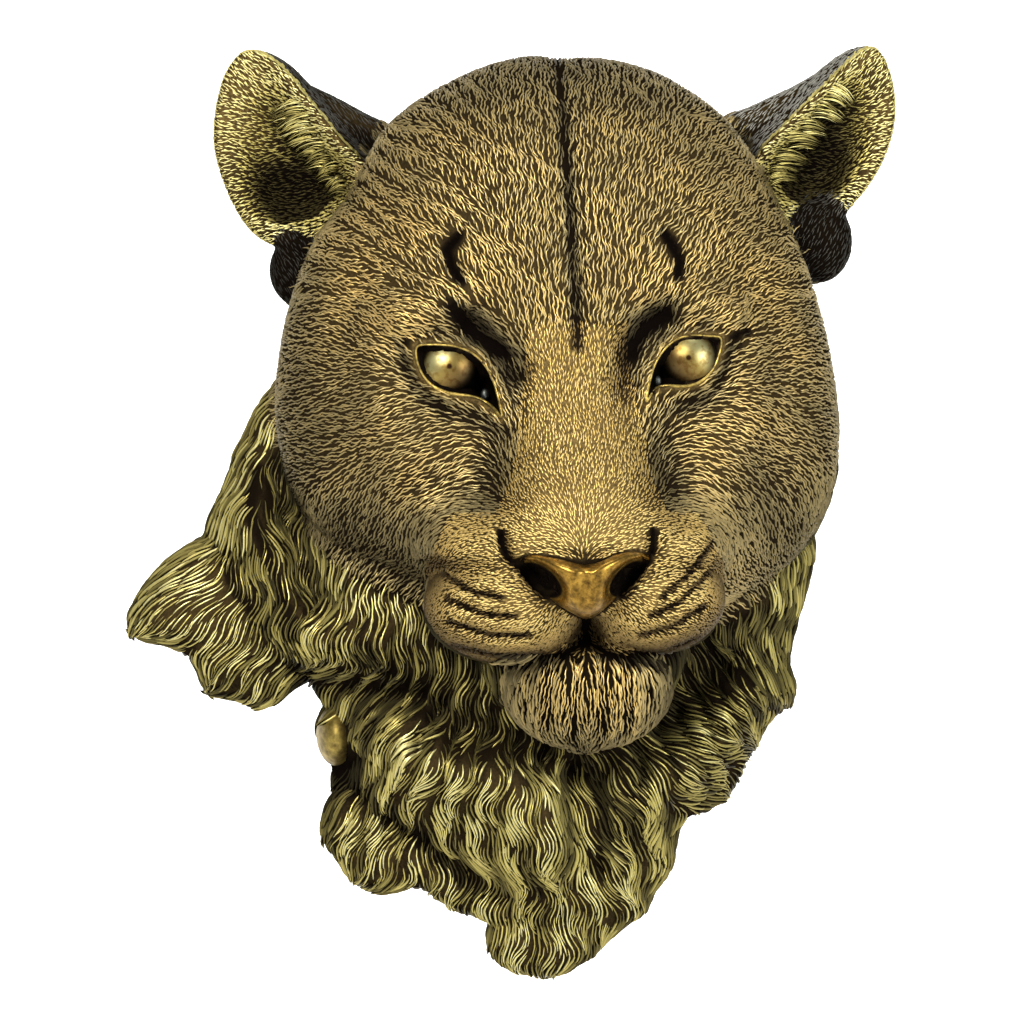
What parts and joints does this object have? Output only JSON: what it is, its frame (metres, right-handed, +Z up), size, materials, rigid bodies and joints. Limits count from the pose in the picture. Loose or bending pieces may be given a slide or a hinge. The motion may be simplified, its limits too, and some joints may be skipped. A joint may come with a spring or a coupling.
{
  "type": "lioness head wall sculpture",
  "caption": "Cast resin lioness head for a wall, antique gold over dark brown, with upright ears, a carved fur coat, a ragged neck hem and a flat back with a hanging pocket",
  "frame": {"origin": "a point on the flat back, where the casting lies against the wall, a little above its middle", "axes": "+Z is up the wall, -Y is the way the face looks, out of the wall, and +X is the viewer's right"},
  "size_m": [0.3152, 0.1702, 0.3818],
  "materials": {
    "antique_gold": "antique gold rubbed over dark brown on cast resin, worn bright on the crests of the fur, the eyes and the nose"
  },
  "bodies": {
    "root": {"lioness_head": "antique_gold"}
  },
  "joints": []
}
